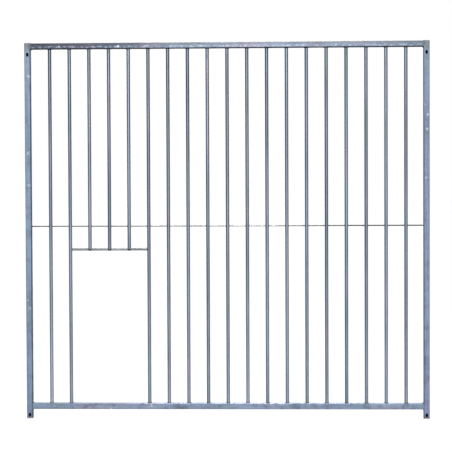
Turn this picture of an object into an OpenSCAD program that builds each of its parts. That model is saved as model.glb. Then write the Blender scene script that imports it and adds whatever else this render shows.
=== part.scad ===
// Welded and hot-dip galvanised panel for a small-animal pen: a square-tube frame filled with
// upright round bars, with a low doorway at the left that the animals walk through.
// Millimetres. +Z is up, -Y is the front and the origin is under the middle of the panel.

/* [Frame] */
// Width of the panel over both uprights
panel_w = 2000; // [1400:10:2600]
// Height of the panel from the ground to the top of the end plugs
panel_h = 1865; // [1300:5:2200]
// Outside size of the square frame tube
tube = 30; // [28:1:40]
// Wall thickness of the square frame tube
tube_wall = 2; // [1.5:0.25:2.25]
// Outside corner radius of the square frame tube
tube_r = 3; // [2.5:0.5:4]
// Ground clearance under the bottom rail
ground_gap = 46; // [35:1:120]

/* [Bars] */
// Outside diameter of the upright bars
bar_d = 17.2; // [14:0.1:20]
// Wall thickness of the upright bars
bar_wall = 2; // [1.5:0.25:2.5]
// Distance from one bar's centre to the next
bar_pitch = 97.8; // [60:0.1:120]
// Distance from the panel's left edge to the centre of the first bar
first_bar = 124; // [80:1:140]

/* [Doorway and tie rod] */
// Number of full bars to the left of the doorway
bars_before_door = 2; // [1:1:3]
// Number of short bars above the doorway
door_bars = 3; // [1:1:4]
// Height of the centre of the rod over the doorway
lintel_z = 841; // [300:1:860]
// Diameter of the rod over the doorway
lintel_d = 12; // [6:1:12]
// Height of the tie rod that runs through all the bars
tie_z = 956; // [900:1:1150]
// Diameter of the tie rod
tie_d = 6; // [4:0.5:8]

/* [Bolt slots] */
// Width of the upright slots in the front wall of each upright
slot_w = 10; // [8:0.5:12]
// Length of the slots from end to end
slot_len = 17; // [15:0.5:20]
// Height of the centre of the lower slots
low_slot_z = 17; // [16:0.5:20]
// Distance from the panel's top down to the centre of the upper slots
high_slot_drop = 58; // [50:1:120]

/* [End plugs] */
// Thickness of the foot plug's flange, which stands on the ground
foot_flange = 3; // [2:0.5:3.5]
// Thickness of the top plug's flange
top_flange = 2; // [1.5:0.5:3]
// Length of the top plug's skirt inside the upright
top_skirt = 14; // [8:1:16]

/* [Hidden] */
$fn = 48;
eps = 1; // how far a cutter runs past the face that it cuts
rod_gap = 0.2; // clearance round the tie rod in the bars
plug_gap = 0.6; // clearance round the plug's skirt between its fins
plug_wall = 1.6; // wall of the plug's skirt
fin_h = 1; // height of each fin on the plug's skirt
bar_vent_d = 8; // hole in the rail at each end of a bar, so that zinc and air can move
rail_vent_d = 12; // hole in the upright at each end of a rail

bore = tube - 2 * tube_wall;
bore_r = tube_r - tube_wall;
inner_w = panel_w - 2 * tube;
upright_x = (panel_w - tube) / 2;
upright_top = panel_h - top_flange;
top_rail_z = upright_top - tube / 2;
bottom_rail_z = ground_gap + tube / 2;
bar_low = bottom_rail_z + tube / 2;
bar_high = top_rail_z - tube / 2;
short_bar_low = lintel_z - 0.4 * lintel_d;
high_slot_z = panel_h - high_slot_drop;
foot_skirt = low_slot_z - slot_len / 2 - foot_flange - 0.5;
bar_count = 1 + floor((panel_w - tube - first_bar - bar_d / 2) / bar_pitch);
last_door_bar = bars_before_door + door_bars;

function bar_x(i) = first_bar + (i - 1) * bar_pitch - panel_w / 2;
function bar_name(i) = str(i < 10 ? "bar_0" : "bar_", i);
function is_short(i) = i > bars_before_door && i <= last_door_bar;

// A square with round corners, centred on the origin
module round_square(size, r) {
    union() {
        square([size, size - 2 * r], center = true);
        square([size - 2 * r, size], center = true);
        for (x = [-1, 1], y = [-1, 1])
            translate([x * (size / 2 - r), y * (size / 2 - r)]) circle(r);
    }
}

// The section of the square frame tube
module tube_section() {
    difference() {
        round_square(tube, tube_r);
        round_square(bore, bore_r);
    }
}

// A slot through the front wall only, upright, centred at height z
module bolt_slot(z) {
    half = (slot_len - slot_w) / 2;
    depth = tube_wall + 2 * eps;
    translate([0, (tube_wall - tube) / 2, z]) {
        for (end = [-1, 1])
            translate([0, 0, end * half]) rotate([90, 0, 0])
                cylinder(d = slot_w, h = depth, center = true);
        cube([slot_w, depth, 2 * half], center = true);
    }
}

// An upright, whose inner face looks along +X when side is -1 and along -X when it is 1
module upright(side) {
    color("lightsteelblue") translate([side * upright_x, 0, 0]) difference() {
        translate([0, 0, foot_flange])
            linear_extrude(upright_top - foot_flange) tube_section();
        bolt_slot(low_slot_z);
        bolt_slot(high_slot_z);
        for (z = [bottom_rail_z, top_rail_z])
            translate([-side * (tube / 2 - tube_wall / 2), 0, z]) rotate([0, 90, 0])
                cylinder(d = rail_vent_d, h = tube_wall + 2 * eps, center = true);
    }
}

// A rail between the uprights at height z, with a vent in its wall at each bar in the list.
// bars_at is 1 where the bars stand on top of the rail and -1 where they hang below it.
module rail(z, bars_at, bars) {
    color("lightsteelblue") difference() {
        translate([-inner_w / 2, 0, z]) rotate([90, 0, 90]) linear_extrude(inner_w) tube_section();
        for (i = bars)
            translate([bar_x(i), 0, z + bars_at * (tube / 2 - tube_wall / 2)])
                cylinder(d = bar_vent_d, h = tube_wall + 2 * eps, center = true);
    }
}

module top_rail() {
    rail(top_rail_z, -1, [1:bar_count]);
}

module bottom_rail() {
    rail(bottom_rail_z, 1, [for (i = [1:bar_count]) if (!is_short(i)) i]);
}

// An upright bar, drilled for the tie rod. A short one is notched to sit over the lintel rod.
module bar(i) {
    low = is_short(i) ? short_bar_low : bar_low;
    color("slategray") translate([bar_x(i), 0, 0]) difference() {
        translate([0, 0, low]) cylinder(d = bar_d, h = bar_high - low);
        translate([0, 0, low - eps])
            cylinder(d = bar_d - 2 * bar_wall, h = bar_high - low + 2 * eps);
        translate([0, 0, tie_z]) rotate([0, 90, 0])
            cylinder(d = tie_d + 2 * rod_gap, h = bar_d + 2 * eps, center = true);
        if (is_short(i)) lintel_notch();
    }
}

// What is cut from the foot of a short bar, open downwards
module lintel_notch() {
    length = bar_d + 2 * eps;
    translate([0, 0, lintel_z]) rotate([0, 90, 0]) cylinder(d = lintel_d, h = length, center = true);
    translate([0, 0, lintel_z - lintel_d / 2]) cube([length, lintel_d, lintel_d], center = true);
}

// A thin round rod through the middle of every bar, from one upright to the other
module tie_rod() {
    color("silver") translate([-inner_w / 2, 0, tie_z]) rotate([0, 90, 0])
        cylinder(d = tie_d, h = inner_w);
}

// The rod over the doorway, coped at both ends to fit the bars beside the doorway
module lintel_rod() {
    left = bar_x(bars_before_door);
    right = bar_x(last_door_bar + 1);
    color("silver") difference() {
        translate([left, 0, lintel_z]) rotate([0, 90, 0]) cylinder(d = lintel_d, h = right - left);
        for (x = [left, right])
            translate([x, 0, lintel_z]) cylinder(d = bar_d, h = 2 * lintel_d, center = true);
    }
}

// A push-in plug, drawn with its flange on the ground and its skirt pointing up
module plug(flange, skirt) {
    core = bore - 2 * plug_gap;
    color("darkgray") {
        linear_extrude(flange) round_square(tube, tube_r);
        translate([0, 0, flange]) difference() {
            union() {
                linear_extrude(skirt) round_square(core, bore_r);
                for (z = [fin_h : 2 * fin_h : skirt - fin_h])
                    translate([0, 0, z]) linear_extrude(fin_h) round_square(bore, bore_r);
            }
            linear_extrude(skirt + eps) round_square(core - 2 * plug_wall, bore_r);
        }
    }
}

module foot_plug(side) {
    translate([side * upright_x, 0, 0]) plug(foot_flange, foot_skirt);
}

module top_plug(side) {
    translate([side * upright_x, 0, panel_h]) mirror([0, 0, 1]) plug(top_flange, top_skirt);
}

upright(-1);  // left_upright
upright(1);  // right_upright
top_rail();
bottom_rail();
tie_rod();
lintel_rod();
top_plug(-1);  // left_top_plug
top_plug(1);  // right_top_plug
foot_plug(-1);  // left_foot_plug
foot_plug(1);  // right_foot_plug
for (i = [1:bar_count])
    bar(i);
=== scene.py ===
"""Looks of the galvanised pen panel: zinc finish, welds, drips, floor, light and camera.

The panel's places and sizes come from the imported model's own nodes. Lengths are in metres.
"""

import math
import random

import bmesh
import bpy
from mathutils import Matrix, Vector, noise


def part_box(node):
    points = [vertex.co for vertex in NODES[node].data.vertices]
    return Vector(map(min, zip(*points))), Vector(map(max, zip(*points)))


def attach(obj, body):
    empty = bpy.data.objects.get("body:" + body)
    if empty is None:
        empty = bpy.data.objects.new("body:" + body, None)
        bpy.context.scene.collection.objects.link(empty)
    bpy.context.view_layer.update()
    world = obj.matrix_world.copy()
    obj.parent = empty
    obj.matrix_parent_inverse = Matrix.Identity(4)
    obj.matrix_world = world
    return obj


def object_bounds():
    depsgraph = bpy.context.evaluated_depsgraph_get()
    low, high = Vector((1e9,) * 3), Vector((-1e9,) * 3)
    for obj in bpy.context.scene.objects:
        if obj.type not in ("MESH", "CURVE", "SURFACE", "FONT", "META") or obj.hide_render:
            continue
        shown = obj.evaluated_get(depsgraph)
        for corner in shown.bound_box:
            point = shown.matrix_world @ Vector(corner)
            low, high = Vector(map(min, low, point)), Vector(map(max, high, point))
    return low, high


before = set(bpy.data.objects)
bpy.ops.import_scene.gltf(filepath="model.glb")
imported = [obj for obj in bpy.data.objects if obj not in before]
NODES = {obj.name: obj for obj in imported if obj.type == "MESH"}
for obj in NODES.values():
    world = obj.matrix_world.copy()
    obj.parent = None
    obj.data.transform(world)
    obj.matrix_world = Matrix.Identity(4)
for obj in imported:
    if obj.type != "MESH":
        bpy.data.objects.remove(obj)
CAD_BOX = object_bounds()
BODY = "root"
MM = 0.001

X_AXIS = Vector((1, 0, 0))
Y_AXIS = Vector((0, 1, 0))
Z_AXIS = Vector((0, 0, 1))


# ---------------------------------------------------------------- places taken from the frame

def centre(name):
    """Middle of a node's box."""
    low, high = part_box(name)
    return (low + high) / 2


BARS = sorted(name for name in NODES if name.startswith("bar_"))
BAR_RADIUS = (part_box(BARS[0])[1].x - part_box(BARS[0])[0].x) / 2
BAR_FOOT_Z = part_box(BARS[0])[0].z
BAR_TOP_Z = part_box(BARS[0])[1].z
SHORT_BARS = [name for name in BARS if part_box(name)[0].z > 2 * BAR_FOOT_Z]
FULL_BARS = [name for name in BARS if name not in SHORT_BARS]

TUBE_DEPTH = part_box("left_upright")[1].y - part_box("left_upright")[0].y
FRONT_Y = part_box("left_upright")[0].y
BACK_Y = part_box("left_upright")[1].y
UPRIGHT_X = centre("right_upright").x
UPRIGHT_TOP_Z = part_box("left_upright")[1].z
INNER_LEFT_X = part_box("left_upright")[1].x
INNER_RIGHT_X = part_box("right_upright")[0].x

TIE_Z = centre("tie_rod").z
TIE_RADIUS = (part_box("tie_rod")[1].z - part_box("tie_rod")[0].z) / 2
LINTEL_Z = centre("lintel_rod").z
LINTEL_RADIUS = (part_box("lintel_rod")[1].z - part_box("lintel_rod")[0].z) / 2

# Sizes of the panel that no node's box gives
TUBE_CORNER = 3 * MM
TUBE_WALL = 2 * MM
SLOT_RADIUS = 5 * MM
SLOT_LENGTH = 17 * MM
LOW_SLOT_Z = 17 * MM
HIGH_SLOT_DROP = 58 * MM
SLOT_HEIGHTS = (LOW_SLOT_Z, CAD_BOX[1].z - HIGH_SLOT_DROP)


# ---------------------------------------------------------------- shader helpers

def node(tree, kind, inputs=None, **settings):
    """Adds a shader node. Each input takes a plain value or the output socket that feeds it."""
    made = tree.nodes.new("ShaderNode" + kind)
    for name, value in settings.items():
        setattr(made, name, value)
    for name, value in (inputs or {}).items():
        if isinstance(value, bpy.types.NodeSocket):
            tree.links.new(value, made.inputs[name])
        else:
            made.inputs[name].default_value = value
    return made


def ramp(tree, factor, stops, interpolation="LINEAR"):
    """A colour ramp through (position, grey or colour) stops."""
    made = node(tree, "ValToRGB", {"Fac": factor})
    made.color_ramp.interpolation = interpolation
    elements = made.color_ramp.elements
    elements.remove(elements[1])
    for count, (position, tone) in enumerate(stops):
        element = elements[0] if count == 0 else elements.new(position)
        element.position = position
        element.color = (tone, tone, tone, 1) if isinstance(tone, (int, float)) else (*tone, 1)
    return made.outputs["Color"]


def remap(tree, value, from_low, from_high, to_low, to_high):
    """Carries a value from one range to another, smoothly and clamped."""
    inputs = {
        "Value": value,
        "From Min": from_low,
        "From Max": from_high,
        "To Min": to_low,
        "To Max": to_high,
    }
    return node(tree, "MapRange", inputs, interpolation_type="SMOOTHSTEP").outputs["Result"]


def math_node(tree, operation, first, second=0.0):
    """One arithmetic step."""
    made = node(tree, "Math", operation=operation)
    for socket, value in zip(made.inputs, (first, second)):
        if isinstance(value, bpy.types.NodeSocket):
            tree.links.new(value, socket)
        else:
            socket.default_value = value
    return made.outputs["Value"]


def mix_colour(tree, factor, first, second, blend_type="MIX"):
    """Mixes two colours, given as sockets or as plain RGB."""
    made = node(tree, "Mix", data_type="RGBA", blend_type=blend_type)
    sockets = [s for s in made.inputs if s.enabled and s.type in ("VALUE", "RGBA")]
    for socket, value in zip(sockets, (factor, first, second)):
        if isinstance(value, bpy.types.NodeSocket):
            tree.links.new(value, socket)
        elif isinstance(value, tuple):
            socket.default_value = (*value, 1)
        else:
            socket.default_value = value
    return next(s for s in made.outputs if s.enabled)


def object_coordinates(tree, stretch=(1, 1, 1)):
    """A place's position in the panel's own frame, in metres, stretched per axis."""
    place = node(tree, "TexCoord").outputs["Object"]
    return node(tree, "Mapping", {"Vector": place, "Scale": stretch}).outputs["Vector"]


def object_xyz(tree):
    """The parts of a place's position, as sockets called X, Y and Z."""
    return node(tree, "SeparateXYZ", {"Vector": object_coordinates(tree)}).outputs


def noise_value(tree, place, scale, detail=2.0, roughness=0.5, distortion=0.0):
    """Fractal noise, 0 to 1, with scale features to the metre."""
    inputs = {
        "Vector": place,
        "Scale": scale,
        "Detail": detail,
        "Roughness": roughness,
        "Distortion": distortion,
    }
    return node(tree, "TexNoise", inputs).outputs["Fac"]


def ragged_value(tree, scale, detail, spread):
    """Noise with scale features to the metre, half its spread below zero and half above."""
    rough = noise_value(tree, object_coordinates(tree), scale, detail=detail)
    return math_node(tree, "MULTIPLY", math_node(tree, "SUBTRACT", rough, 0.5), spread)


def bumped(tree, shader, height, distance):
    """Makes a surface uneven by a height of 0 to 1, which stands for that distance in metres."""
    bump = node(tree, "Bump", {"Height": height, "Distance": distance, "Strength": 1.0})
    tree.links.new(bump.outputs["Normal"], shader.inputs["Normal"])


def new_material(name):
    """An empty material with its shader and output joined."""
    material = bpy.data.materials.new(name)
    material.use_nodes = True
    tree = material.node_tree
    tree.nodes.clear()
    shader = node(tree, "BsdfPrincipled")
    tree.links.new(shader.outputs["BSDF"], node(tree, "OutputMaterial").inputs["Surface"])
    return material, tree, shader


# ---------------------------------------------------------------- materials

TEAL_GREY = (0.30, 0.39, 0.46)
STEEL_BLUE = (0.33, 0.40, 0.53)
LAVENDER = (0.42, 0.42, 0.54)
BLUE_GREYS = (TEAL_GREY, STEEL_BLUE, LAVENDER)
COOL_GREYS = (TEAL_GREY, STEEL_BLUE, (0.36, 0.41, 0.55))
BAR_GREYS = ((0.31, 0.39, 0.44), (0.34, 0.395, 0.49), (0.43, 0.42, 0.51))
PLAIN_GREYS = ((0.36, 0.37, 0.37), (0.44, 0.45, 0.45), (0.52, 0.52, 0.53))
DULL_GREYS = ((0.288, 0.296, 0.296), (0.352, 0.36, 0.36), (0.416, 0.416, 0.424))
WELD_GREYS = ((0.12, 0.13, 0.16), (0.18, 0.19, 0.23), (0.27, 0.28, 0.32))

ASH_WHITE = (0.84, 0.87, 0.90)
# Painted shade: near-black at the feet of the short bars, under the lintel
SHADE_BLACK = (0.03, 0.035, 0.05)
HEATED_LEFT = ((0.4, (0.20, 0.20, 0.22)), (0.6, (0.38, 0.38, 0.40)))
HEATED_RIGHT = ((0.4, (0.20, 0.235, 0.25)), (0.6, (0.30, 0.34, 0.355)))
FOOT_GREY = (0.33, 0.33, 0.33)
INWARD_SHADE = (0.35, 0.38, 0.42)
# Painted shade: a near-black rim round each bolt slot
SLOT_RIM_SHADE = (0.02, 0.025, 0.04)
# Painted shade: the walls inside the uprights, almost black
TUBE_INSIDE_SHADE = (0.01, 0.012, 0.02)
TOP_BAND = (0.26, 0.26, 0.27)
# Painted shade: the near-black line along the top rail's lower edge
LOWER_EDGE_SHADE = (0.02, 0.025, 0.035)

# How fast patches and streaks change per metre along each axis
BAR_PATCHES = (13, 13, 2.5)
BAR_STREAKS = (170, 170, 5)
RAIL_PATCHES = (4, 13, 13)
RAIL_STREAKS = (5, 170, 170)
RAIL_RUNS = (60, 120, 120)
ALL_ROUND = (40, 40, 40)
BAR_TO_BAR = (11, 11, 0.9)

# Tones along a piece: share of the way across or up the panel, and what multiplies the colour
UPRIGHT_TONES = ((0.0, (0.80, 0.86, 0.86)), (1.0, (0.80, 0.77, 0.81)))
UPRIGHT_RISE = ((0.0, (1.08, 1.02, 1.14)), (0.15, (1.14, 1.10, 1.14)), (0.5, 1.12), (0.75, 1.0),
                (1.0, 0.97))
TOP_RAIL_TONES = ((0.0, (0.27, 0.26, 0.28)), (0.24, (0.36, 0.36, 0.38)), (0.38, 0.68),
                  (0.82, 0.66), (1.0, (0.52, 0.57, 0.56)))
# Painted reflection on the tie rod: darker towards both ends, most of all its right third, and
# lighter in the middle
TIE_ROD_PAINTED_REFLECTION = ((0.02, 0.34), (0.12, 0.6), (0.3, 0.85), (0.6, 0.95), (0.7, 0.42), (0.84, 0.20),
                 (1.0, 0.20))

# Splashes of white zinc on the top rail: the bars that each one is between, and its radius
TOP_RAIL_SPLASHES = (("bar_01", "bar_02", 3.5 * MM), ("bar_04", "bar_05", 6 * MM))

# The same on the uprights: how far right of the upright's middle, how high up, and its radius
UPRIGHT_SPLASHES = (
    ("left_upright", 4 * MM, 1.70, 7 * MM),
    ("left_upright", 1 * MM, 1.32, 8 * MM),
    ("left_upright", 4 * MM, 1.16, 7 * MM),
    ("left_upright", -5 * MM, 0.59, 4 * MM),
    ("left_upright", 3 * MM, 0.55, 5 * MM),
    ("right_upright", -6 * MM, 1.55, 5 * MM),
    ("right_upright", 5 * MM, 1.50, 7 * MM),
    ("right_upright", 2 * MM, 1.43, 7 * MM),
    ("right_upright", -3 * MM, 1.19, 6 * MM),
)


def zinc_layers(tree, stretch, streak, shades, contrast, spangle=0.06):
    """The layers of hot-dip zinc on drawn tube, as sockets: colour, crystal, stains and grain.

    stretch is how fast its patches change per axis, streak the same for the dip streaks that run
    along the tube, shades its dark, middle and light tints, contrast how strong its stains are and
    spangle how much darker and lighter its crystals are.
    """
    place = object_coordinates(tree)
    patches = noise_value(tree, object_coordinates(tree, stretch), 1.0, detail=3, roughness=0.5)
    tint = ramp(tree, patches, ((0.34, shades[0]), (0.5, shades[1]), (0.66, shades[2])))

    warp = node(tree, "TexNoise", {"Vector": place, "Scale": 60.0, "Detail": 2.0}).outputs["Color"]
    bent = mix_colour(tree, 0.02, place, warp, "LINEAR_LIGHT")
    coarse = node(tree, "TexVoronoi", {"Vector": bent, "Scale": 75.0}).outputs["Color"]
    fine = node(tree, "TexVoronoi", {"Vector": bent, "Scale": 210.0}).outputs["Color"]
    crystal = math_node(tree, "MULTIPLY", red_of(tree, coarse), 0.6)
    crystal = math_node(tree, "ADD", crystal, math_node(tree, "MULTIPLY", red_of(tree, fine), 0.4))
    streaks = noise_value(tree, object_coordinates(tree, streak), 1.0, detail=4, roughness=0.6)
    grain = noise_value(tree, place, 700.0, detail=3)
    stains = noise_value(tree, place, 24.0, detail=5, roughness=0.6, distortion=0.4)

    light = math_node(tree, "MULTIPLY", remap(tree, crystal, 0, 1, 1 - spangle, 1 + spangle),
                      remap(tree, streaks, 0.3, 0.7, 0.84, 1.16))
    light = math_node(tree, "MULTIPLY", light, remap(tree, stains, 0.46, 0.74, 1.0, 1 - contrast))
    light = math_node(tree, "MULTIPLY", light, remap(tree, grain, 0.3, 0.7, 0.96, 1.04))
    colour = mix_colour(tree, 1.0, tint, light, "MULTIPLY")
    return colour, crystal, stains, grain


def red_of(tree, colour):
    """The red part of a colour, as a value."""
    return node(tree, "SeparateColor", {"Color": colour}).outputs["Red"]


def finish_zinc(tree, shader, layers, gloss, ash, lumps):
    """Joins zinc layers to the shader. gloss is the range of roughness, ash a socket that is 1
    where white zinc ash lies and lumps the height of the unevenness in metres."""
    colour, crystal, stains, grain = layers
    tree.links.new(mix_colour(tree, ash, colour, ASH_WHITE), shader.inputs["Base Color"])
    shine = remap(tree, stains, 0.35, 0.65, gloss[0], gloss[1])
    shine = math_node(tree, "ADD", shine, remap(tree, crystal, 0, 1, -0.02, 0.02))
    tree.links.new(shine, shader.inputs["Roughness"])
    tree.links.new(remap(tree, ash, 0, 1, 0.93, 0.1), shader.inputs["Metallic"])
    height = math_node(tree, "ADD", math_node(tree, "MULTIPLY", grain, 0.12),
                       math_node(tree, "MULTIPLY", stains, 0.5))
    height = math_node(tree, "ADD", height, math_node(tree, "MULTIPLY", ash, 0.5))
    bumped(tree, shader, height, lumps)


def ash_spots(tree, share):
    """Spots of white zinc ash: hardly any with a share of 0, none with -0.1, a scatter with 0.1."""
    place = object_coordinates(tree)
    spots = node(tree, "TexVoronoi", {"Vector": place, "Scale": 42.0}).outputs["Distance"]
    zone = noise_value(tree, place, 15.0, detail=3)
    return math_node(tree, "MULTIPLY", remap(tree, spots, 0.1, 0.26, 1, 0),
                     remap(tree, zone, 0.66 - share, 0.74 - share, 0, 1))


def splashes(tree, marks, rough):
    """1 in each splash of white zinc, given as (middle, radius), and 0 away from them. rough is how
    far their edges wander."""
    ragged = ragged_value(tree, 120.0, 3, rough)
    found = 0.0
    for middle, radius in marks:
        inputs = {0: object_coordinates(tree), 1: middle}
        away = node(tree, "VectorMath", inputs, operation="DISTANCE").outputs["Value"]
        away = math_node(tree, "ADD", away, ragged)
        splash = remap(tree, away, 0.7 * radius, 1.2 * radius, 1, 0)
        found = math_node(tree, "MAXIMUM", splash, found)
    return found


def toned(tree, colour, axis, tones):
    """Multiplies a colour by tones that change along the panel: axis is "X" from its left side to
    its right or "Z" from the ground up, and each tone is (share of the way, grey or colour)."""
    low, high = ((corner.x if axis == "X" else corner.z) for corner in CAD_BOX)
    inputs = {"Value": object_xyz(tree)[axis], "From Min": low, "From Max": high}
    share = node(tree, "MapRange", inputs).outputs["Result"]
    share = math_node(tree, "ADD", share, ragged_value(tree, 9.0, 4, 0.16))
    tone = ramp(tree, share, tones, "EASE")
    return mix_colour(tree, 1.0, colour, tone, "MULTIPLY")


def galvanised(name, stretch, streak, shades, gloss, contrast=0.25, spangle=0.06, share=0.0,
               lumps=0.4 * MM, tones=None, uneven=0.0, burnt_to=None):
    """A material of hot-dip zinc. stretch, streak, shades, contrast and spangle go to zinc_layers,
    gloss and lumps to finish_zinc and share to ash_spots.

    tones, when given, change it from left to right, uneven is how much darker and lighter it gets
    from one bar to the next, and below the height in its last argument it is painted almost black,
    a painted shade.
    """
    material, tree, shader = new_material(name)
    colour, crystal, stains, grain = zinc_layers(tree, stretch, streak, shades, contrast, spangle)
    if tones:
        colour = toned(tree, colour, "X", tones)
    if uneven:
        dip = noise_value(tree, object_coordinates(tree, BAR_TO_BAR), 1.0, detail=1)
        dip = remap(tree, dip, 0.3, 0.7, 1 - uneven, 1 + uneven)
        colour = mix_colour(tree, 1.0, colour, dip, "MULTIPLY")
    # Painted shade: below that height the colour goes almost black
    if burnt_to:
        soft = 0.6 * MM
        height = object_xyz(tree)["Z"]
        height = math_node(tree, "ADD", height, ragged_value(tree, 260.0, 3, 3 * MM))
        burn = remap(tree, height, burnt_to - soft, burnt_to + soft, 0.93, 0)
        colour = mix_colour(tree, burn, colour, SHADE_BLACK)
    layers = (colour, crystal, stains, grain)
    finish_zinc(tree, shader, layers, gloss, ash_spots(tree, share), lumps)
    return material


def galvanised_upright():
    """Zinc of the uprights: neutral where the heat of the corner welds dulled it and in the last
    centimetre of the foot, with painted shade on the side that faces the bars, a painted shade rim
    round each bolt slot, painted shade inside the tube that is almost black, and a few faint
    splashes down the front."""
    material, tree, shader = new_material("galvanised_upright")
    colour, crystal, stains, grain = zinc_layers(tree, BAR_PATCHES, BAR_STREAKS, COOL_GREYS, 0.2)
    xyz = object_xyz(tree)
    speckle = noise_value(tree, object_coordinates(tree), 170.0, detail=3)
    left = ramp(tree, speckle, HEATED_LEFT)
    right = ramp(tree, speckle, HEATED_RIGHT)
    heated = mix_colour(tree, remap(tree, xyz["X"], -0.1, 0.1, 0, 1), left, right)
    height = math_node(tree, "ADD", xyz["Z"], ragged_value(tree, 60.0, 4, 30 * MM))
    top = remap(tree, height, UPRIGHT_TOP_Z - 46 * MM, UPRIGHT_TOP_Z - 24 * MM, 0, 0.9)
    colour = mix_colour(tree, top, colour, heated)
    foot = remap(tree, height, 8 * MM, 14 * MM, 0.9, 0)
    colour = mix_colour(tree, foot, colour, FOOT_GREY)
    colour = toned(tree, colour, "X", UPRIGHT_TONES)
    colour = toned(tree, colour, "Z", UPRIGHT_RISE)

    # Painted shade on the side that faces the bars and along the inner edge of the front face
    inward = math_node(tree, "ABSOLUTE", xyz["X"])
    inward = remap(tree, inward, INNER_RIGHT_X + 2.5 * MM, INNER_RIGHT_X + 4.5 * MM, 1, 0)
    colour = mix_colour(tree, inward, colour, INWARD_SHADE, "MULTIPLY")
    # Painted shade: the rims of the bolt slots go near-black
    colour = mix_colour(tree, slot_rim_shade(tree, xyz), colour, SLOT_RIM_SHADE)
    # Painted shade: inside the tube it goes almost black
    colour = mix_colour(tree, inside_tube_shade(tree, xyz), colour, TUBE_INSIDE_SHADE)

    marks = []
    for name, aside, height, radius in UPRIGHT_SPLASHES:
        marks.append((Vector((centre(name).x + aside, FRONT_Y, height)), radius))
    faint = math_node(tree, "MULTIPLY", splashes(tree, marks, 22 * MM), 0.42)
    ash = math_node(tree, "MAXIMUM", ash_spots(tree, 0.0), faint)
    finish_zinc(tree, shader, (colour, crystal, stains, grain), (0.30, 0.45), ash, 0.3 * MM)
    return material


def beside_upright(tree, xyz):
    """How far sideways a place is from the middle of the upright that it is on."""
    beside = math_node(tree, "SUBTRACT", math_node(tree, "ABSOLUTE", xyz["X"]), UPRIGHT_X)
    return math_node(tree, "ABSOLUTE", beside)


def slot_rim_shade(tree, xyz):
    """Painted shade round the bolt slots: 1 on the rim of each bolt slot in the front wall, fading
    to 0 a couple of millimetres from its edge."""
    beside = beside_upright(tree, xyz)
    beside = math_node(tree, "MULTIPLY", beside, beside)
    rims = 0.0
    for z in SLOT_HEIGHTS:
        above = math_node(tree, "ABSOLUTE", math_node(tree, "SUBTRACT", xyz["Z"], z))
        above = math_node(tree, "SUBTRACT", above, SLOT_LENGTH / 2 - SLOT_RADIUS)
        above = math_node(tree, "MAXIMUM", above, 0.0)
        above = math_node(tree, "MULTIPLY", above, above)
        reach = math_node(tree, "SQRT", math_node(tree, "ADD", above, beside))
        rim = remap(tree, reach, SLOT_RADIUS + 0.9 * MM, SLOT_RADIUS + 2.2 * MM, 1, 0)
        rims = math_node(tree, "MAXIMUM", rim, rims)
    front = math_node(tree, "LESS_THAN", xyz["Y"], FRONT_Y + TUBE_WALL)
    return math_node(tree, "MULTIPLY", rims, front)


def inside_tube_shade(tree, xyz):
    """1 on the walls inside the uprights, which the slots give a glimpse of and which painted shade
    makes almost black, and 0 outside.
    """
    deep = math_node(tree, "ABSOLUTE", xyz["Y"])
    off_middle = math_node(tree, "MAXIMUM", beside_upright(tree, xyz), deep)
    return math_node(tree, "LESS_THAN", off_middle, TUBE_DEPTH / 2 - TUBE_WALL + 0.2 * MM)


def galvanised_top_rail():
    """Zinc of the top rail: darker over its left third, with a neutral band along its top, bright
    runs along its lower half where it drained, splashes, and a near-black line of painted shade
    along its lower edge."""
    material, tree, shader = new_material("galvanised_top_rail")
    colour, crystal, stains, grain = zinc_layers(tree, RAIL_PATCHES, RAIL_STREAKS, BLUE_GREYS, 0.3)
    height = object_xyz(tree)["Z"]
    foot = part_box("top_rail")[0].z

    rise = remap(tree, height, foot + 0.55 * TUBE_DEPTH, foot + 0.85 * TUBE_DEPTH, 0, 0.6)
    colour = mix_colour(tree, rise, colour, TOP_BAND)
    colour = toned(tree, colour, "X", TOP_RAIL_TONES)
    # Painted shade: the lowest few millimetres of the rail go near-black, where shadow falls under
    # it
    edge = math_node(tree, "ADD", height, ragged_value(tree, 120.0, 3, 4 * MM))
    edge = remap(tree, edge, foot + 3.4 * MM, foot + 5.4 * MM, 0.93, 0)
    colour = mix_colour(tree, edge, colour, LOWER_EDGE_SHADE)

    low_half = remap(tree, height, foot + 0.40 * TUBE_DEPTH, foot + 0.60 * TUBE_DEPTH, 1, 0)
    off_edge = remap(tree, height, foot + 5 * MM, foot + 7 * MM, 0, 1)
    runs = noise_value(tree, object_coordinates(tree, RAIL_RUNS), 1.0, detail=4)
    runs = math_node(tree, "MULTIPLY", remap(tree, runs, 0.48, 0.70, 0, 0.45), low_half)
    runs = math_node(tree, "MULTIPLY", runs, off_edge)

    marks = []
    for left, right, radius in TOP_RAIL_SPLASHES:
        x = (centre(left).x + centre(right).x) / 2
        marks.append((Vector((x, FRONT_Y, foot + 0.42 * TUBE_DEPTH)), radius))
    ash = math_node(tree, "MAXIMUM", runs, splashes(tree, marks, 4 * MM))
    finish_zinc(tree, shader, (colour, crystal, stains, grain), (0.30, 0.46), ash, 0.6 * MM)
    return material


def grey_plastic():
    """Moulded polyethylene of the end plugs: pale grey, matt, with a fine eroded grain."""
    material, tree, shader = new_material("grey_plastic")
    place = object_coordinates(tree)
    scuffs = noise_value(tree, place, 55.0, detail=4, roughness=0.6)
    grain = noise_value(tree, place, 1600.0, detail=2)
    colour = ramp(tree, scuffs, ((0.35, (0.30, 0.31, 0.32)), (0.6, (0.42, 0.43, 0.44))))
    tree.links.new(colour, shader.inputs["Base Color"])
    tree.links.new(remap(tree, scuffs, 0.3, 0.7, 0.45, 0.62), shader.inputs["Roughness"])
    bumped(tree, shader, grain, 0.1 * MM)
    return material


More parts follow.
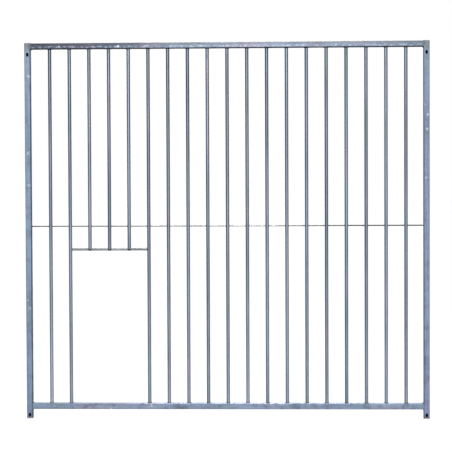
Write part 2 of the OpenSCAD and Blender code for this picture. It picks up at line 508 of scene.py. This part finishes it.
def weld_painted_shade():
    """Weld at the feet of the short bars, matt and rough, painted almost black as painted shade."""
    material, tree, shader = new_material("weld_painted_shade")
    crust = noise_value(tree, object_coordinates(tree), 500.0, detail=4)
    colour = ramp(tree, crust, ((0.35, (0.006, 0.006, 0.010)), (0.65, (0.03, 0.03, 0.04))))
    tree.links.new(colour, shader.inputs["Base Color"])
    tree.links.new(remap(tree, crust, 0.3, 0.7, 0.75, 0.9), shader.inputs["Roughness"])
    bumped(tree, shader, crust, 0.5 * MM)
    return material


SMOOTH_BAR = {
    "stretch": BAR_PATCHES,
    "streak": BAR_STREAKS,
    "shades": BAR_GREYS,
    "gloss": (0.29, 0.33),
    "contrast": 0.06,
    "spangle": 0.02,
    "share": -0.1,
    "lumps": 0.05 * MM,
    "uneven": 0.16,
}

MATERIALS = {
    "upright": galvanised_upright(),
    "top_rail": galvanised_top_rail(),
    "bottom_rail": galvanised("galvanised_bottom_rail", RAIL_PATCHES, RAIL_STREAKS, BLUE_GREYS,
                              (0.30, 0.46), contrast=0.35, share=0.12, lumps=0.6 * MM),
    "bar": galvanised("galvanised_bar", **SMOOTH_BAR),
    # Painted shade: the short bars go almost black at their feet, under the lintel
    "short_bar": galvanised("galvanised_short_bar", burnt_to=LINTEL_Z + 1 * MM, **SMOOTH_BAR),
    # The tie rod's tones along its length are a painted reflection
    "tie_rod": galvanised("galvanised_tie_rod", RAIL_PATCHES, RAIL_STREAKS, PLAIN_GREYS,
                          (0.34, 0.46), lumps=0.2 * MM, tones=TIE_ROD_PAINTED_REFLECTION),
    "lintel_rod": galvanised("galvanised_lintel_rod", RAIL_PATCHES, RAIL_STREAKS, DULL_GREYS,
                             (0.34, 0.46), lumps=0.3 * MM),
    "weld": galvanised("galvanised_weld", ALL_ROUND, ALL_ROUND, WELD_GREYS, (0.40, 0.6),
                       lumps=1.2 * MM),
    "weld_painted_shade": weld_painted_shade(),
    "plug": grey_plastic(),
}


def cad_material(name):
    """The material of a CAD node, by the kind of piece that it is."""
    if name.endswith("_plug"):
        return MATERIALS["plug"]
    if name.endswith("_upright"):
        return MATERIALS["upright"]
    if name in SHORT_BARS:
        return MATERIALS["short_bar"]
    if name in FULL_BARS:
        return MATERIALS["bar"]
    return MATERIALS[name]


def dress_cad_nodes():
    """Gives every CAD node its procedural finish in place of the plain one it was packed with."""
    for name, part in NODES.items():
        part.data.materials.clear()
        part.data.materials.append(cad_material(name))


# ---------------------------------------------------------------- welds and zinc

BEAD_BULGE = 0.12
BEAD_ROOT = 0.25
BEAD_STEPS = 5
BAR_END_LEG = 3.4 * MM
TIE_ROD_LEG = 1.5 * MM
LINTEL_END_LEG = 2.2 * MM
LINTEL_TOP_LEG = 1.8 * MM
CORNER_LEG = 5 * MM
FRONT_SEAM = (5.5 * MM, 1.25 * MM)
TOP_SEAM = (6 * MM, 1.1 * MM)
RAIL_DRIPS = 14
LINTEL_DRIPS = 4


def fillet_profile():
    """Cross-section of a fillet bead with a leg of 1: its corner is at the origin, and its root
    reaches into both parts so that no gap shows."""
    face = []
    for step in range(BEAD_STEPS + 1):
        t = step / BEAD_STEPS
        out = BEAD_BULGE * math.sin(math.pi * t) / math.sqrt(2)
        face.append((1 - t + out, t + out))
    return [(-BEAD_ROOT, -BEAD_ROOT), (1, -BEAD_ROOT)] + face + [(-BEAD_ROOT, 1)]


def sweep(mesh, stations, profile, closed):
    """Carries a profile along stations, each (origin, along u, along v), and skins it."""
    rings = []
    for origin, u, v in stations:
        rings.append([mesh.verts.new(origin + u * a + v * b) for a, b in profile])
    count = len(profile)
    pairs = list(zip(rings, rings[1:]))
    if closed:
        pairs.append((rings[-1], rings[0]))
    for here, there in pairs:
        for i in range(count):
            j = (i + 1) % count
            mesh.faces.new((here[i], here[j], there[j], there[i]))
    if not closed:
        mesh.faces.new(rings[0][::-1])
        mesh.faces.new(rings[-1])


def circle_profile(sides):
    """A circle of radius 1 as a profile."""
    turn = 2 * math.pi / sides
    return [(math.cos(turn * k), math.sin(turn * k)) for k in range(sides)]


def ripple(place, seed, amount):
    """How much a bead swells at a place: slow wander with finer weld ripples on it."""
    slow = noise.noise(place * 180 + Vector((seed, 0, 0)))
    fine = noise.noise(place * 900 + Vector((0, seed, 0)))
    return 1 + amount * (slow + 0.5 * fine)


def ring_bead(mesh, middle, axis, radius, leg, seed, squeeze=0.0, turns=28):
    """A fillet bead round a bar or rod of that radius, on the face that axis points away from.

    squeeze narrows it to the front and back, where the face beside the bar is narrow.
    """
    side = X_AXIS if abs(axis.x) < 0.5 else Z_AXIS
    other = axis.cross(side)
    stations = []
    for turn in range(turns):
        angle = 2 * math.pi * turn / turns
        outward = side * math.cos(angle) + other * math.sin(angle)
        origin = middle + outward * radius
        size = leg * ripple(origin, seed, 0.28) * (1 - squeeze * abs(outward.y))
        stations.append((origin, outward * size, axis * size))
    sweep(mesh, stations, fillet_profile(), closed=True)


def line_bead(mesh, start, end, u, v, leg, seed):
    """A straight fillet bead from start to end, with its legs along u and v."""
    steps = round((end - start).length / (1.2 * MM))
    stations = []
    for step in range(steps + 1):
        t = step / steps
        origin = start.lerp(end, t)
        fade = math.sqrt(max(0.1, 1 - (2 * t - 1) ** 4))
        size = leg * ripple(origin, seed, 0.22) * fade
        stations.append((origin, u * size, v * size))
    sweep(mesh, stations, fillet_profile(), closed=False)


def finish_piece(name, mesh, material):
    """Turns mesh into a smoothed object with a material and a slot, riding on the panel."""
    bmesh.ops.recalc_face_normals(mesh, faces=mesh.faces)
    data = bpy.data.meshes.new(name)
    mesh.to_mesh(data)
    mesh.free()
    for face in data.polygons:
        face.use_smooth = True
    piece = bpy.data.objects.new(name, data)
    bpy.context.scene.collection.objects.link(piece)
    data.materials.append(MATERIALS[material])
    smooth = piece.modifiers.new("smooth", "SUBSURF")
    smooth.levels = 1
    smooth.render_levels = 1
    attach(piece, BODY)


def bar_end_welds():
    """The ring welds where the bars meet the rails."""
    ends = (
        ("bar_top_welds", BARS, BAR_TOP_Z, -Z_AXIS, 0),
        ("bar_foot_welds", FULL_BARS, BAR_FOOT_Z, Z_AXIS, 40),
    )
    for piece, bars, z, axis, first_seed in ends:
        mesh = bmesh.new()
        for number, name in enumerate(bars):
            middle = centre(name)
            middle.z = z
            ring_bead(mesh, middle, axis, BAR_RADIUS, BAR_END_LEG, number + first_seed, squeeze=0.2)
        finish_piece(piece, mesh, "weld")


def saddle_bead(mesh, bar, side, z, rod_radius, leg, seed, arc=(0, 360), turns=24):
    """A fillet bead round a rod where it meets the round side of a bar.

    bar is the place of the bar's centre line, side is 1 or -1 for its +X or -X side, and arc is how
    far round the rod the bead goes, in degrees from +Y towards +Z.
    """
    whole = arc[1] - arc[0] >= 360
    stations = []
    for turn in range(turns if whole else turns + 1):
        angle = math.radians(arc[0] + (arc[1] - arc[0]) * turn / turns)
        outward = Y_AXIS * math.cos(angle) + Z_AXIS * math.sin(angle)
        y = rod_radius * outward.y
        x = side * math.sqrt(BAR_RADIUS ** 2 - y ** 2)
        normal = Vector((x, y, 0)) / BAR_RADIUS
        up_the_bar = (outward - normal * outward.dot(normal)).normalized()
        origin = Vector((bar.x + x, y, z + rod_radius * outward.z))
        size = leg * ripple(origin, seed, 0.28)
        stations.append((origin, X_AXIS * side * size, up_the_bar * size))
    sweep(mesh, stations, fillet_profile(), closed=whole)


def tie_rod_welds():
    """Beads where the tie rod goes into each bar and into the uprights."""
    mesh = bmesh.new()
    ends = ((INNER_LEFT_X, X_AXIS), (INNER_RIGHT_X, -X_AXIS))
    for number, (x, axis) in enumerate(ends):
        middle = Vector((x, 0, TIE_Z))
        ring_bead(mesh, middle, axis, TIE_RADIUS, TIE_ROD_LEG, number + 80, turns=16)
    for number, name in enumerate(BARS):
        for side in (-1, 1):
            saddle_bead(mesh, centre(name), side, TIE_Z, TIE_RADIUS, TIE_ROD_LEG,
                        2 * number + side + 90, turns=16)
    finish_piece("tie_rod_welds", mesh, "weld")


def lintel_welds():
    """Rings where the lintel meets the two long bars beside the doorway, and the beads over it at
    the sides of each short bar."""
    mesh = bmesh.new()
    beside = [name for name in FULL_BARS if touches_lintel(name)]
    for number, name in enumerate(beside):
        side = 1 if centre(name).x < centre("lintel_rod").x else -1
        saddle_bead(mesh, centre(name), side, LINTEL_Z, LINTEL_RADIUS, LINTEL_END_LEG,
                    number + 130)
    for number, name in enumerate(SHORT_BARS):
        for side in (-1, 1):
            saddle_bead(mesh, centre(name), side, LINTEL_Z, LINTEL_RADIUS, LINTEL_TOP_LEG,
                        2 * number + side + 140, arc=(-10, 190), turns=16)
    finish_piece("lintel_welds", mesh, "weld")


def touches_lintel(name):
    """Whether a bar stands at one end of the lintel."""
    low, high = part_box("lintel_rod")
    return min(abs(centre(name).x - low.x), abs(centre(name).x - high.x)) < 1.5 * BAR_RADIUS


def short_bar_caps():
    """Rough weld that closes the open foot of each short bar under the lintel, almost black with
    painted shade. Each ring of it is (millimetres above the foot, share of the reach)."""
    mesh = bmesh.new()
    reach = BAR_RADIUS - 0.3 * MM
    rings = ((0.8, 1.0), (0.0, 1.03), (-1.4, 1.01), (-2.0, 0.9), (-2.2, 0.5))
    for number, name in enumerate(SHORT_BARS):
        middle = centre(name)
        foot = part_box(name)[0].z
        stations = []
        for rise, share in rings:
            origin = Vector((middle.x, middle.y, foot + rise * MM))
            size = reach * share * ripple(origin, number + 150, 0.05)
            stations.append((origin, X_AXIS * size, Y_AXIS * size))
        sweep(mesh, stations, circle_profile(24), closed=False)
    finish_piece("short_bar_caps", mesh, "weld_painted_shade")


def corner_welds():
    """Fillet beads in the inner corners between the rails and the uprights."""
    mesh = bmesh.new()
    top_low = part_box("top_rail")[0].z
    foot_low, foot_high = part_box("bottom_rail")[0].z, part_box("bottom_rail")[1].z
    corners = ((top_low, -Z_AXIS), (foot_high, Z_AXIS), (foot_low, -Z_AXIS))
    half = TUBE_DEPTH / 2 - TUBE_CORNER * 0.6
    for number, (z, up) in enumerate(corners):
        for side, x in ((1, INNER_LEFT_X), (-1, INNER_RIGHT_X)):
            start = Vector((x, -half, z))
            end = Vector((x, half, z))
            line_bead(mesh, start, end, X_AXIS * side, up, CORNER_LEG, number * 2 + side + 170)
    finish_piece("corner_welds", mesh, "weld")


def seam_bead(mesh, start, end, out, section, seed):
    """A flat bead along a joint between tubes that lie side by side. section is its width along X
    and how far its crown stands out from the joint line."""
    width, crown = section
    profile = [(-1, -1), (1, -1)]
    crown_steps = 6
    for step in range(crown_steps + 1):
        t = step / crown_steps
        profile.append((1 - 2 * t, math.sin(math.pi * t)))
    steps = round((end - start).length / (1.4 * MM))
    stations = []
    for step in range(steps + 1):
        t = step / steps
        origin = start.lerp(end, t)
        swell = ripple(origin, seed, 0.12)
        stations.append((origin, X_AXIS * width / 2 * swell, out * crown * min(1, swell)))
    sweep(mesh, stations, profile, closed=False)


def seam_welds():
    """Dressed seams on the front, back and top, filling the groove between tube and tube."""
    mesh = bmesh.new()
    groove = 0.9 * MM
    sunk = 1.3 * MM
    for side, joint_x in ((1, INNER_LEFT_X), (-1, INNER_RIGHT_X)):
        x = joint_x - side * groove
        for rail in ("top_rail", "bottom_rail"):
            low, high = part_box(rail)
            for y, out in ((FRONT_Y, -Y_AXIS), (BACK_Y, Y_AXIS)):
                base = y - out.y * sunk
                start = Vector((x, base, low.z + 0.5 * MM))
                end = Vector((x, base, high.z - 0.5 * MM))
                seam_bead(mesh, start, end, out, FRONT_SEAM, side + 200)
        start = Vector((x + side * MM, FRONT_Y + TUBE_CORNER, UPRIGHT_TOP_Z))
        end = Vector((x + side * MM, BACK_Y - TUBE_CORNER, UPRIGHT_TOP_Z))
        seam_bead(mesh, start, end, Z_AXIS, TOP_SEAM, side + 220)
    finish_piece("seam_welds", mesh, "weld")


def drip(mesh, top, radius, length, seed):
    """One frozen run of zinc, hanging from top and leaning a little more the lower it gets."""
    steps = 6
    lean = X_AXIS * noise.noise(top * 50 + Vector((seed, 0, 0))) * length * 0.3
    stations = []
    for step in range(steps + 1):
        t = step / steps
        width = radius * (1 - t) ** 0.6 + 0.1 * MM
        origin = top - Z_AXIS * length * t + lean * t ** 2
        stations.append((origin, X_AXIS * width * 1.3, Y_AXIS * width))
    sweep(mesh, stations, circle_profile(10), closed=False)


def zinc_drips():
    """Small runs of zinc left on the undersides as the panel was lifted from the bath."""
    rng = random.Random(11)
    mesh = bmesh.new()
    low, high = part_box("bottom_rail")
    for count in range(RAIL_DRIPS):
        x = rng.uniform(low.x + 20 * MM, high.x - 20 * MM)
        y = rng.uniform(-0.5, 0.5) * TUBE_DEPTH * 0.6
        top = Vector((x, y, low.z + 0.4 * MM))
        drip(mesh, top, rng.uniform(1.4, 2.6) * MM, rng.uniform(1.8, 4.5) * MM, count)
    low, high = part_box("lintel_rod")
    for count in range(LINTEL_DRIPS):
        x = rng.uniform(low.x + 15 * MM, high.x - 15 * MM)
        top = Vector((x, 0, low.z + 0.4 * MM))
        drip(mesh, top, rng.uniform(1.0, 1.6) * MM, rng.uniform(1.2, 2.6) * MM, count + 20)
    finish_piece("zinc_drips", mesh, "weld")


# ---------------------------------------------------------------- stage

# What the panel mirrors: (direction, brightness) from straight down at 0 to straight up at 1
YARD_AHEAD = ((0, 0.04), (0.32, 0.06), (0.41, 1.14), (0.5, 1.06), (0.56, 1.06), (0.68, 1.04),
              (1, 1.3))
YARD_BESIDE = ((0, 0.30), (0.34, 0.95), (0.43, 0.92), (0.49, 0.04), (0.56, 0.0), (0.70, 0.05),
               (1, 0.7))
YARD_BEHIND = ((0, 0.30), (0.34, 0.55), (0.41, 0.35), (0.46, 0.03), (0.63, 0.02), (0.70, 0.3),
               (0.80, 0.8), (1, 1.4))
YARD_TINT = (0.95, 1.0, 1.05)

# Name, place, diameter, power and colour
LAMPS = (
    ("front", Vector((0.0, -4.2, 3.9)), 2.0, 110, (1.0, 0.99, 0.97)),
    ("behind", Vector((0.0, 4.2, 4.2)), 2.0, 160, (0.97, 0.98, 1.0)),
)

FLOOR_REACH = 60.0
FLOOR_GLOW = 0.95

CAMERA_PLACE = Vector((0.315, -8.0, 1.183))
CAMERA_LENS = 128.8
CAMERA_TURN = math.radians(2.282)
CAMERA_TILT = math.radians(88.369)
CAMERA_ROLL = math.radians(-0.242)


def studio_world():
    """White behind the panel, and for its reflections a cool yard: pale in front and straight
    behind, dim just above the horizon to both sides, bright overhead, and darker to the left."""
    world = bpy.data.worlds.new("studio")
    bpy.context.scene.world = world
    world.use_nodes = True
    tree = world.node_tree
    tree.nodes.clear()
    direction = node(tree, "TexCoord").outputs["Generated"]
    parts = node(tree, "SeparateXYZ", {"Vector": direction}).outputs
    height = math_node(tree, "ADD", math_node(tree, "MULTIPLY", parts["Z"], 0.5), 0.5)
    ahead = ramp(tree, height, YARD_AHEAD, "EASE")
    beside = ramp(tree, height, YARD_BESIDE, "EASE")
    behind = ramp(tree, height, YARD_BEHIND, "EASE")
    light = mix_colour(tree, remap(tree, parts["Y"], -0.985, -0.6, 0, 1), ahead, beside)
    light = mix_colour(tree, remap(tree, parts["Y"], -0.1, 0.6, 0, 1), light, behind)
    light = mix_colour(tree, remap(tree, parts["Y"], 0.86, 0.96, 0, 0.6), light, ahead)
    sides = remap(tree, parts["X"], -0.9, 0.9, 0.76, 1.14)
    light = mix_colour(tree, 1.0, light, sides, "MULTIPLY")
    light = mix_colour(tree, 1.0, light, YARD_TINT, "MULTIPLY")
    yard = node(tree, "Background", {"Color": light, "Strength": 1.0})
    white = node(tree, "Background", {"Color": (1, 1, 1, 1), "Strength": 1.0})
    seen = node(tree, "LightPath").outputs["Is Camera Ray"]
    mixed = node(tree, "MixShader", {"Fac": seen})
    tree.links.new(yard.outputs["Background"], mixed.inputs[1])
    tree.links.new(white.outputs["Background"], mixed.inputs[2])
    output = node(tree, "OutputWorld")
    tree.links.new(mixed.outputs["Shader"], output.inputs["Surface"])


def area_lamp(name, place, size, power, colour):
    """A large soft lamp aimed at the middle of the panel."""
    data = bpy.data.lights.new(name, "AREA")
    data.shape = "DISK"
    data.size = size
    data.energy = power
    data.color = colour
    lamp = bpy.data.objects.new(name, data)
    bpy.context.scene.collection.objects.link(lamp)
    middle = (CAD_BOX[0] + CAD_BOX[1]) / 2
    turn = (middle - place).to_track_quat("-Z", "Y").to_matrix().to_4x4()
    lamp.matrix_world = Matrix.Translation(place) @ turn


def studio_lamps():
    """Soft light from high up in front and behind, neither to the left nor to the right, so that
    the sides of the tubes stay dim."""
    for lamp in LAMPS:
        area_lamp(*lamp)


def pale_floor():
    """A plain pale floor under the panel, wide enough for every view."""
    mesh = bmesh.new()
    bmesh.ops.create_grid(mesh, x_segments=1, y_segments=1, size=FLOOR_REACH)
    data = bpy.data.meshes.new("floor")
    mesh.to_mesh(data)
    mesh.free()
    floor = bpy.data.objects.new("floor", data)
    floor.location.z = CAD_BOX[0].z
    bpy.context.scene.collection.objects.link(floor)
    floor.visible_diffuse = False
    floor.visible_glossy = False
    material, tree, shader = new_material("pale_floor")
    tone = noise_value(tree, object_coordinates(tree), 3.0, detail=3)
    colour = ramp(tree, tone, ((0.3, 0.055), (0.7, 0.065)))
    tree.links.new(colour, shader.inputs["Base Color"])
    shader.inputs["Roughness"].default_value = 0.9
    shader.inputs["Emission Color"].default_value = (1, 1, 1, 1)
    shader.inputs["Emission Strength"].default_value = FLOOR_GLOW
    data.materials.append(material)


def front_camera():
    """A long lens about eight metres in front of the panel, a little right of its middle."""
    data = bpy.data.cameras.new("camera")
    data.sensor_width = 36
    data.lens = CAMERA_LENS
    data.clip_end = 200
    camera = bpy.data.objects.new("camera", data)
    bpy.context.scene.collection.objects.link(camera)
    camera.matrix_world = (
        Matrix.Translation(CAMERA_PLACE)
        @ Matrix.Rotation(CAMERA_TURN, 4, "Z")
        @ Matrix.Rotation(CAMERA_TILT, 4, "X")
        @ Matrix.Rotation(CAMERA_ROLL, 4, "Z")
    )
    bpy.context.scene.camera = camera


def build():
    """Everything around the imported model, in order."""
    front_camera()
    studio_world()
    studio_lamps()
    pale_floor()
    dress_cad_nodes()
    bar_end_welds()
    tie_rod_welds()
    lintel_welds()
    short_bar_caps()
    corner_welds()
    seam_welds()
    zinc_drips()
    bpy.context.scene.view_settings.view_transform = "Standard"


build()
